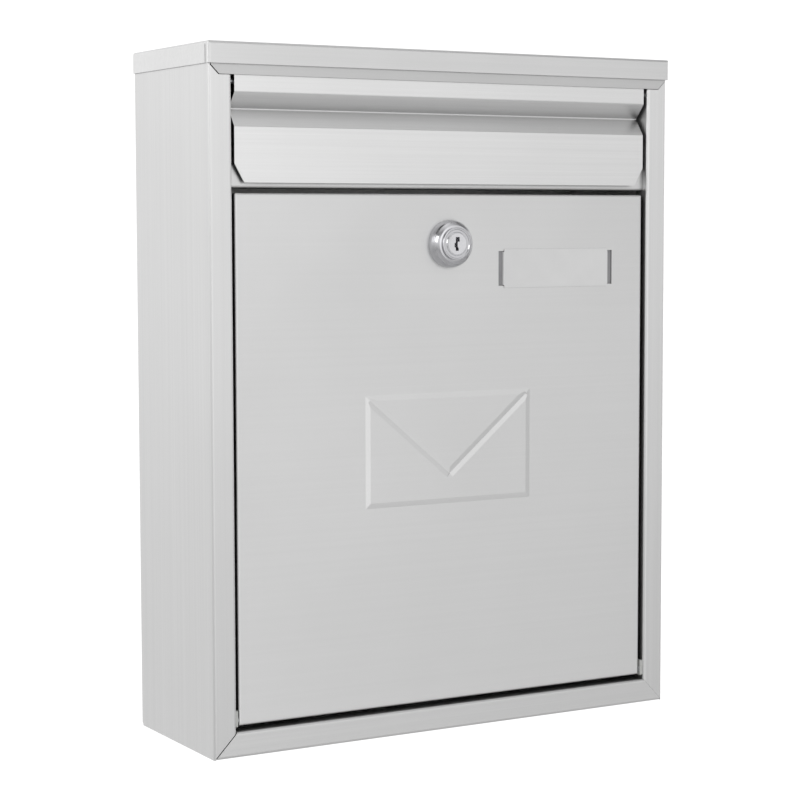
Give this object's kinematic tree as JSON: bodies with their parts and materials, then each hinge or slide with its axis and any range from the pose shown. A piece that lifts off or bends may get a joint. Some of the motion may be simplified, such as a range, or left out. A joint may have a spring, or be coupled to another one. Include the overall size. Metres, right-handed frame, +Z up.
{
  "type": "wall mounted mailbox",
  "caption": "Upright sheet steel wall mailbox with a roof cap, a grooved letter flap at the top and a bottom hinged door with a cam lock and a name strip.",
  "frame": {"origin": "centre of the wall face, which is also the centre of the four wall screw holes", "axes": "+Y into the wall, so the front faces -Y; +Z up; +X to the viewer's right"},
  "size_m": [0.2818, 0.0981, 0.361],
  "materials": {
    "steel": "fine brushed grain, satin",
    "chrome": "polished plating",
    "zinc": "zinc plated",
    "rubber": "matt",
    "nylon": "grey nylon",
    "strip": "satin, blank",
    "clip": "matt grey"
  },
  "bodies": {
    "body": {"back_panel": "steel", "left_side": "steel", "right_side": "steel", "bottom_panel": "steel", "roof_cap": "steel", "top_rail": "steel", "crossbar": "steel", "flap_rod": "zinc", "rod_clips": "zinc", "flap_pads": "rubber", "door_stops": "steel", "door_buttons": "rubber", "door_bushes": "nylon"},
    "flap": {"letter_flap": "steel", "flap_knuckles": "steel"},
    "door": {"door_panel": "steel", "hinge_studs": "zinc", "name_strip": "strip", "strip_clip": "clip", "lock_rosette": "chrome", "lock_barrel": "chrome", "lock_nut": "zinc"},
    "lock": {"lock_plug": "chrome", "lock_cam": "zinc", "cam_screw": "zinc"}
  },
  "joints": [
    {"name": "flap_hinge", "type": "hinge", "parent": "body", "child": "flap", "pos_m": [0, -0.0876, 0.1611], "axis": [-1, 0, 0], "range_deg": [0, 80]},
    {"name": "door_hinge", "type": "hinge", "parent": "body", "child": "door", "pos_m": [0, -0.088, -0.1618], "axis": [1, 0, 0], "range_deg": [0, 120]},
    {"name": "lock_turn", "type": "hinge", "parent": "door", "child": "lock", "pos_m": [0, -0.09, 0.0795], "axis": [0, -1, 0], "range_deg": [0, 90]}
  ]
}
